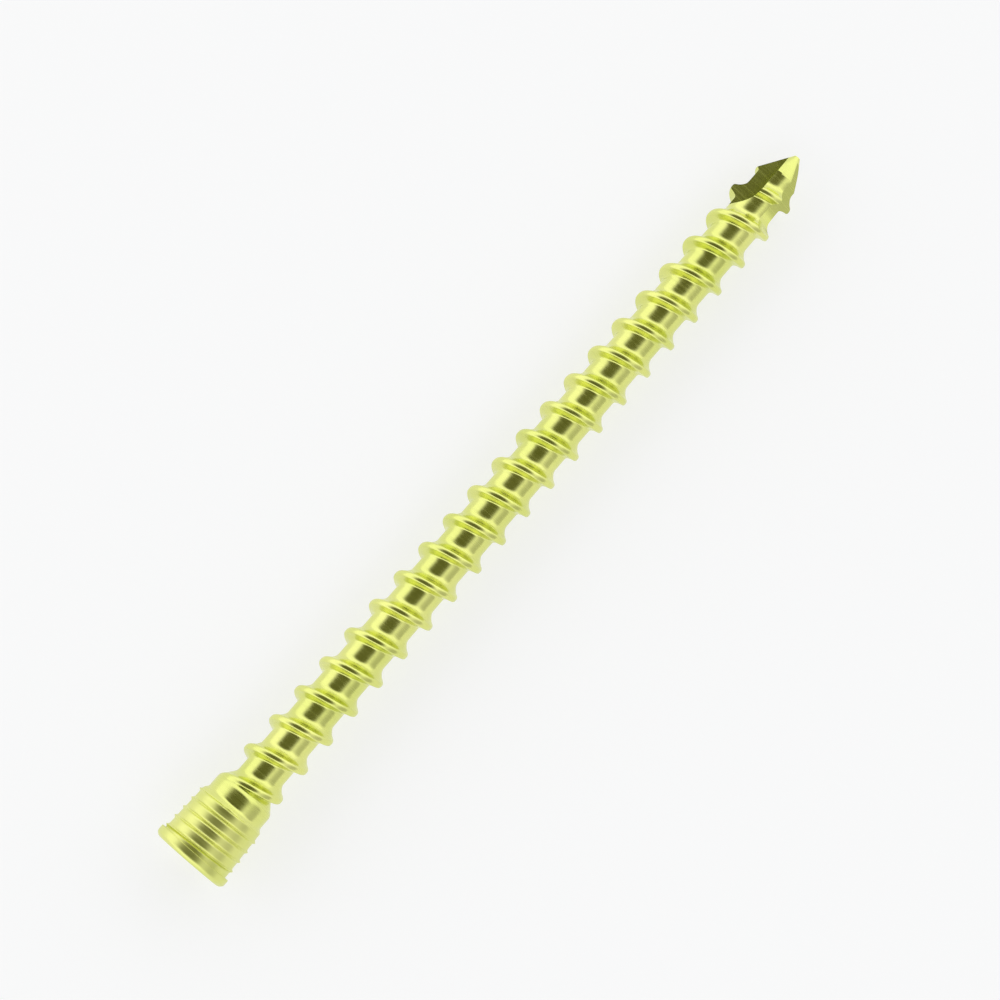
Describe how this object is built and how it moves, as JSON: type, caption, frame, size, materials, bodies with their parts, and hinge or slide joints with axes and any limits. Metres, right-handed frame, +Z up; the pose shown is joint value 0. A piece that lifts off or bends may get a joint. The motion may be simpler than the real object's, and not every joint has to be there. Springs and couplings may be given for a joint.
{
  "type": "locking bone screw",
  "caption": "Long slender bone screw with a tapered, finely threaded locking head, a six-lobe drive recess, a coarse bone thread and a fluted self-tapping point.",
  "frame": {"origin": "middle of the screw's footprint, on the surface that it lies on", "axes": "+X along the screw from the head to the point, which dips by 0.7 degrees because the head is thicker than the thread; +Z up"},
  "size_m": [0.04, 0.0036, 0.0036],
  "materials": {
    "anodised_titanium": null
  },
  "bodies": {
    "root": {"locking_screw": "anodised_titanium"}
  },
  "joints": []
}
